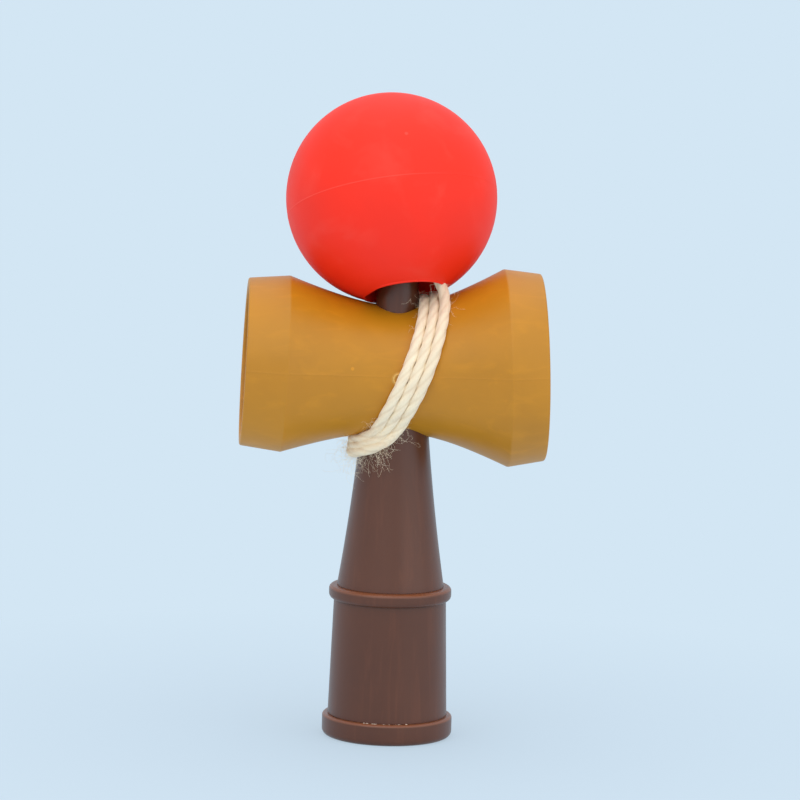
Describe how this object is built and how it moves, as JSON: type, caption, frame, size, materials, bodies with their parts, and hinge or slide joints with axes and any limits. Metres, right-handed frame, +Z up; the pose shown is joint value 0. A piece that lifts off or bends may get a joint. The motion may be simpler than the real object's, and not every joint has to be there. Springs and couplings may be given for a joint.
{
  "type": "cup and ball toy",
  "caption": "Cup and ball toy: a spiked handle with a double-cup crosspiece, and a bored ball that sits on the spike, tied by a cotton string wound round the crosspiece.",
  "frame": {"origin": "centre of the foot's underside, where the handle's axis meets the surface it stands on", "axes": "+Z up along the handle towards the spike, +X along the crosspiece towards the big cup, -Y the front"},
  "size_m": [0.0507, 0.0372, 0.1071],
  "materials": {
    "brown_plastic": "satin moulded",
    "ochre_plastic": "satin moulded",
    "red_plastic": "semi-matte moulded",
    "cotton_string": "twisted, fuzzy"
  },
  "bodies": {
    "handle": {"foot_cup": "brown_plastic", "barrel": "brown_plastic", "neck_and_spike": "brown_plastic"},
    "crosspiece": {"crosspiece": "ochre_plastic", "string_winding": "cotton_string", "crosspiece_knot": "cotton_string"},
    "string_lead": {"string_lead": "cotton_string", "ball_knot": "cotton_string"},
    "ball": {"ball_lower_half": "red_plastic", "ball_upper_half": "red_plastic"}
  },
  "joints": [
    {"name": "crosspiece_pull", "type": "slide", "parent": "handle", "child": "crosspiece", "axis": [0, 0, 1], "range_m": [0, 0.042]},
    {"name": "ball_lift", "type": "slide", "parent": "crosspiece", "child": "string_lead", "axis": [0, 0, 1], "range_m": [0, 0.018], "deforming": ["string_lead"]},
    {"name": "ball_spin", "type": "hinge", "parent": "string_lead", "child": "ball", "pos_m": [-0.0013, 0.00338, 0.08965], "axis": [-0.1314, 0.3422, 0.9304], "continuous": true}
  ]
}
